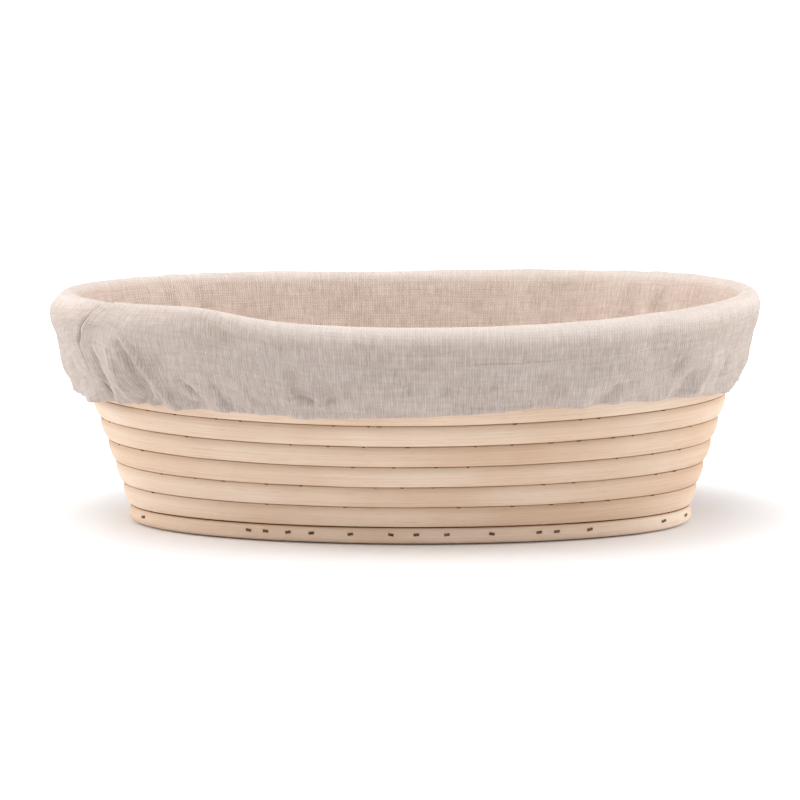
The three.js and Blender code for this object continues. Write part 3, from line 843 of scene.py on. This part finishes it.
def linenMaterial(name):
    # Washed linen, plain woven from uneven natural yarn, undyed. Soft and matt, with upright
    # threads that stand out, slubs, paler and darker yarns, and a faint fuzz.
    material, tree, shader = newMaterial(name)
    weave = add(tree, "ShaderNodeUVMap", {"uv_map": "weave"})
    u, v = add(tree, "ShaderNodeSeparateXYZ", inputs={"Vector": weave}).outputs[:2]
    # threads wander by a quarter of their spacing
    wander = add(tree, "ShaderNodeTexNoise", inputs={"Vector": weave, "Scale": 260.0, "Detail": 1.0})
    drift = add(tree, "ShaderNodeMath", "MULTIPLY_ADD",
                {0: wander.outputs["Fac"], 1: 0.9, 2: -0.45})
    warp = add(tree, "ShaderNodeMath", "MULTIPLY_ADD",
               {0: u, 1: 1 / linen["warp"], 2: drift})
    weft = add(tree, "ShaderNodeMath", "MULTIPLY_ADD",
               {0: v, 1: 1 / linen["weft"], 2: drift})
    warpWave = add(tree, "ShaderNodeMath", "SINE", {
        0: add(tree, "ShaderNodeMath", "MULTIPLY", {0: warp, 1: math.pi})})
    weftWave = add(tree, "ShaderNodeMath", "SINE", {
        0: add(tree, "ShaderNodeMath", "MULTIPLY", {0: weft, 1: math.pi})})
    warpRound = add(tree, "ShaderNodeMath", "ABSOLUTE", {0: warpWave})
    weftRound = add(tree, "ShaderNodeMath", "ABSOLUTE", {0: weftWave})
    over = add(tree, "ShaderNodeMath", "MULTIPLY", {0: warpWave, 1: weftWave})
    # each yarn has its own tone, thickness and slubs along its length
    warpYarn = add(tree, "ShaderNodeCombineXYZ", inputs={
        "X": warp, "Y": add(tree, "ShaderNodeMath", "MULTIPLY", {0: v, 1: 150.0}), "Z": 0.0})
    warpTone = add(tree, "ShaderNodeTexNoise", inputs={
        "Vector": warpYarn, "Scale": 1.0, "Detail": 2.5, "Roughness": 0.6}).outputs["Fac"]
    weftYarn = add(tree, "ShaderNodeCombineXYZ", inputs={
        "X": add(tree, "ShaderNodeMath", "MULTIPLY", {0: u, 1: 130.0}), "Y": weft, "Z": 4.0})
    weftTone = add(tree, "ShaderNodeTexNoise", inputs={
        "Vector": weftYarn, "Scale": 0.8, "Detail": 2.5, "Roughness": 0.6}).outputs["Fac"]
    clouds = add(tree, "ShaderNodeTexNoise", inputs={"Vector": weave, "Scale": 55.0, "Detail": 3.0})
    tone = add(tree, "ShaderNodeMath", "MULTIPLY", {0: warpTone, 1: 0.46})
    for part, share in ((weftTone, 0.26), (clouds, 0.16), (warpRound, 0.12)):
        tone = add(tree, "ShaderNodeMath", "MULTIPLY_ADD", {0: part, 1: share, 2: tone})
    colour = add(tree, "ShaderNodeValToRGB", {"stops": [
        (0.36, "#BBABA1"), (0.47, "#CBBDB4"), (0.56, "#D6C8C0"), (0.68, "#E3D8D1")]}, {"Fac": tone})
    # painted warm bounce light: the lining side is a shade warmer, the skirt a shade greyer
    skirtSide = add(tree, "ShaderNodeMapRange", inputs={
        "Value": v, "From Min": 84 * mm, "From Max": 98 * mm})
    bounceTint = add(tree, "ShaderNodeMix", {"data_type": "RGBA"}, {
        0: skirtSide, 6: hexColour("#FFF8F2"), 7: hexColour("#F1F1F0")})
    bounceTintedColour = add(tree, "ShaderNodeMix", {"data_type": "RGBA", "blend_type": "MULTIPLY"}, {
        0: 1.0, 6: colour.outputs["Color"], 7: bounceTint.outputs[2]})
    # painted highlight: paler where the cloth turns over the rim, where light from above grazes it
    crestHighlight = add(tree, "ShaderNodeMapRange", softEdge, {
        "Value": v, "From Min": 79 * mm, "From Max": 84 * mm, "To Max": 0.42})
    crestHighlightFade = add(tree, "ShaderNodeMapRange", softEdge, {
        "Value": v, "From Min": 94 * mm, "From Max": 88 * mm})
    crestHighlightShare = add(tree, "ShaderNodeMath", "MULTIPLY", {
        0: crestHighlight, 1: crestHighlightFade})
    crestHighlighted = add(tree, "ShaderNodeMix", {"data_type": "RGBA"}, {
        0: crestHighlightShare, 6: bounceTintedColour.outputs[2], 7: hexColour("#EBE4DF")})
    # painted shadow in the hollow beside the seam, where the sewn-on edge overlaps the cloth behind
    seamLine = add(tree, "ShaderNodeAttribute", {"attribute_name": "seam"}).outputs["Fac"]
    seamShadowShare = add(tree, "ShaderNodeMath", "MULTIPLY", {0: seamLine, 1: 0.6})
    seamShaded = add(tree, "ShaderNodeMix", {"data_type": "RGBA"}, {
        0: seamShadowShare, 6: crestHighlighted.outputs[2], 7: hexColour("#8F8074")})
    height = warpRound
    for part, share in ((over, 0.35), (weftRound, 0.55), (warpTone, 0.8), (weftTone, 0.6)):
        height = add(tree, "ShaderNodeMath", "MULTIPLY_ADD", {0: part, 1: share, 2: height})
    bump = add(tree, "ShaderNodeBump", inputs={"Strength": 0.6, "Distance": 0.16 * mm, "Height": height})
    feed(tree, shader, {
        "Base Color": seamShaded.outputs[2], "Normal": bump.outputs["Normal"], "Roughness": 0.95,
        "Specular IOR Level": 0.2, "Sheen Weight": 0.18, "Sheen Roughness": 0.5,
        "Sheen Tint": hexColour("#FFF6EE")})
    return material


def addThickness(piece):
    solid = piece.modifiers.new("cloth", "SOLIDIFY")
    solid.thickness = linen["thickness"]
    solid.offset = -1


def makeWallCloth(material):
    columns = clothAngles()
    along, out = clothSection(columns)
    hem = linen["hemHeight"] + roundBasket(columns, linen["hem"])
    facing = smoothStep(out, -5.5, -1)
    # the columns beside the sewn seam bend to follow it
    seamHeight = np.where(out > -2.6, along - hem, linen["seamTop"])
    bend = np.radians(np.interp(seamHeight, *zip(*linen["seam"])) - linen["seamAngle"])
    bend = bend * (0.35 + 0.65 * facing)
    fromSeam = np.degrees(columns) - linen["seamAngle"]
    nearSeam = np.exp(-(fromSeam / 15) ** 2) + np.exp(-((fromSeam - 360) / 15) ** 2)
    angles = columns + bend * nearSeam
    points = clothPoint(angles, along, out)
    rows, count = along.shape
    faces = np.array(gridFaces(rows, count, closeColumns=True))
    piece = makeMesh("linerWallCloth", points.reshape(-1, 3), faces, material)
    lengths = np.linalg.norm(np.diff(points, axis=0), axis=2)
    v = np.concatenate([np.zeros((1, count)), np.cumsum(lengths, axis=0)])
    u = (runAt(columns) - runAt(columns[0])) / runTotal * linen["threadsRound"] * linen["warp"]
    u = np.broadcast_to(u, v.shape)
    loops = faces.ravel()
    uv = np.stack([u.ravel()[loops], v.ravel()[loops]], -1)
    closing = (np.repeat(faces.min(axis=1) % count == 0, 4)) & (loops % count == 0)
    lastColumn = np.repeat(np.isin(faces % count, [count - 1]).any(axis=1), 4)
    uv[closing & lastColumn, 0] = linen["threadsRound"] * linen["warp"]
    piece.data.uv_layers.new(name="weave").data.foreach_set("uv", uv.ravel())
    # how near the seam, stored for the painted shadow in the cloth's colour
    seamLine = piece.data.attributes.new("seam", "FLOAT", "POINT")
    beside = seamRise(angles, seamHeight)[1] * (0.15 + 0.85 * facing)
    seamLine.data.foreach_set("value", beside.ravel())
    addThickness(piece)
    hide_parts("liner_wall", "liner_skirt")
    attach(piece, "liner")
    width = float(v[-1].mean())
    return width


def makeBottomCloth(material):
    rings, around = 26, 200
    angles = fullTurn(around)
    edge = basePoint(angles, 0.0, -linen["bottomInset"])
    floor = wall["baseHeight"] + 0.75 * mm
    shares = np.linspace(0, 1, rings) ** 0.8
    points = [(0, 0, floor)]
    for share in shares[1:]:
        x, y = edge[:, 0] * share, edge[:, 1] * share
        ripple = 0.14 * clothNoise(x / mm / 11 + 90, y / mm / 9 + 20, 64, 41)
        dip = -0.5 * smoothStep(share, 0.9, 1.0)
        z = floor + (ripple * (1 - share ** 6) + dip) * mm
        points += list(zip(x, y, np.broadcast_to(z, x.shape)))
    faces = [(0, 1 + j, 1 + (j + 1) % around) for j in range(around)]
    faces += [tuple(1 + k for k in face) for face in gridFaces(rings - 1, around, closeColumns=True)]
    faces = faces[:around] + [face[::-1] for face in faces[around:]]
    piece = makeMesh("linerBottomCloth", points, faces, material)
    uv = piece.data.uv_layers.new(name="weave")
    for loop in piece.data.loops:
        spot = piece.data.vertices[loop.vertex_index].co
        uv.data[loop.index].uv = (spot.x + 0.3, spot.y - 0.3)
    addThickness(piece)
    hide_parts("liner_bottom")
    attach(piece, "liner")


def makeHemElastic():
    # flat braided elastic inside the casing
    material, tree, shader = newMaterial("braidedElastic")
    place = add(tree, "ShaderNodeTexCoord").outputs["Object"]
    braid = add(tree, "ShaderNodeTexWave", {"wave_type": "BANDS", "bands_direction": "Z"}, {
        "Vector": place, "Scale": 500.0, "Distortion": 2.0})
    colour = add(tree, "ShaderNodeValToRGB", {"stops": [(0.0, "#D9D2C6"), (1.0, "#F1ECE2")]}, {
        "Fac": braid.outputs["Fac"]})
    bump = add(tree, "ShaderNodeBump", inputs={
        "Strength": 0.5, "Distance": 0.1 * mm, "Height": braid.outputs["Fac"]})
    feed(tree, shader, {
        "Base Color": colour.outputs["Color"], "Normal": bump.outputs["Normal"], "Roughness": 0.85})
    angles = fullTurn(linen["columns"])
    hem = linen["hemHeight"] + roundBasket(angles, linen["hem"])
    front = roundBasket(angles, linen["hemOut"]) - 0.58
    rows = [clothPoint(angles, hem + rise, front - back)
            for rise, back in ((1.0, 0), (3.3, 0), (5.6, 0), (5.6, 0.24), (3.3, 0.24), (1.0, 0.24))]
    faces = gridFaces(6, len(angles), closeRows=True, closeColumns=True)
    piece = makeMesh("hemElasticBand", np.concatenate(rows), faces, material)
    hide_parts("hem_elastic")
    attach(piece, "liner")


stitch = dict(Spacing=3.1 * mm, Jitter=0.15 * mm, Keep=1.0, Length=2.1 * mm, Width=0.42 * mm,
              Proud=0.16 * mm, Spread=0.08)


def makeStitches(tree):
    # linen thread, a shade paler than the cloth
    material, threadTree, shader = newMaterial("linenThread")
    place = add(threadTree, "ShaderNodeTexCoord").outputs["Object"]
    twist = add(threadTree, "ShaderNodeTexNoise", inputs={"Vector": place, "Scale": 1400.0, "Detail": 2.0})
    colour = add(threadTree, "ShaderNodeValToRGB", {"stops": [(0.35, "#B5A699"), (0.7, "#D8CCC2")]}, {
        "Fac": twist.outputs["Fac"]})
    bump = add(threadTree, "ShaderNodeBump", inputs={
        "Strength": 0.4, "Distance": 0.05 * mm, "Height": twist.outputs["Fac"]})
    feed(threadTree, shader, {
        "Base Color": colour.outputs["Color"], "Normal": bump.outputs["Normal"], "Roughness": 0.9})
    angles = fullTurn(720)
    hem = linen["hemHeight"] + roundBasket(angles, linen["hem"])
    points = clothPoint(angles, hem + 6.0, roundBasket(angles, linen["bellyLow"]) - 0.04)
    path = makePath("hemStitchPath", points, wallSlope(angles))
    piece = runTree(path, tree, {**stitch, "Seed": 71, "Material": material}, "hemStitches")
    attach(piece, "liner")


linenCloth = linenMaterial("washedLinen")
clothWidth = makeWallCloth(linenCloth)
makeBottomCloth(linenCloth)
makeHemElastic()
makeStitches(headsAlongPath)
print("liner made: strip", round(clothWidth / mm), "mm wide")
